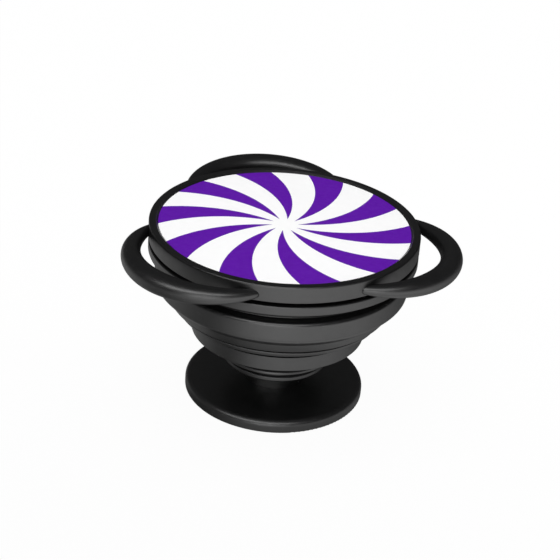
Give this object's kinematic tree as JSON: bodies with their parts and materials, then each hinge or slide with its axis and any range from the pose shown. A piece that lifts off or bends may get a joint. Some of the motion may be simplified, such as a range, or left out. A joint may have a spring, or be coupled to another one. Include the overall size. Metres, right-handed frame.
{
  "type": "phone grip",
  "caption": "Collapsible phone grip: round base with a sticky pad, stepped bellows and a spinning head with loops round a printed swirl face.",
  "frame": {"origin": "centre of the sticky face under the base, the face that goes on a phone", "axes": "+Z away from the phone along the bellows, +Y through the middle of one loop"},
  "size_m": [0.0534, 0.0503, 0.0302],
  "materials": {
    "black_plastic": "semi-gloss moulded",
    "bellows_rubber": "satin moulded elastomer",
    "pad_foam": "matte sticky foam",
    "bearing_steel": "ground and polished",
    "cage_brass": "satin",
    "screw_steel": "zinc plated",
    "face_glue": "clear sheet adhesive",
    "face_white": "satin printed face",
    "swirl_purple": "satin ink"
  },
  "bodies": {
    "base": {"adhesive_pad": "pad_foam", "base_disc": "black_plastic", "bellows": "bellows_rubber"},
    "carrier": {"carrier_plate": "black_plastic", "bearing_inner_race": "bearing_steel", "clamp_washer": "screw_steel", "clamp_screw": "screw_steel"},
    "spinner": {"spinner_body": "black_plastic", "bearing_outer_race": "bearing_steel", "face_adhesive": "face_glue", "face_disc": "face_white", "swirl_print": "swirl_purple"},
    "ball_cage": {"bearing_balls": "bearing_steel", "bearing_cage": "cage_brass"}
  },
  "joints": [
    {"name": "pop", "type": "slide", "parent": "base", "child": "carrier", "axis": [0, 0, 1], "range_m": [-0.0178, 0], "deforming": ["bellows"]},
    {"name": "spin", "type": "hinge", "parent": "carrier", "child": "spinner", "pos_m": [0, 0, 0.02521], "axis": [0, 0, 1], "continuous": true},
    {"name": "cage_orbit", "type": "hinge", "parent": "carrier", "child": "ball_cage", "pos_m": [0, 0, 0.02521], "axis": [0, 0, 1], "continuous": true}
  ],
  "couplings": [
    {"joint": "cage_orbit", "follows": "spin", "ratio": 0.58333}
  ]
}
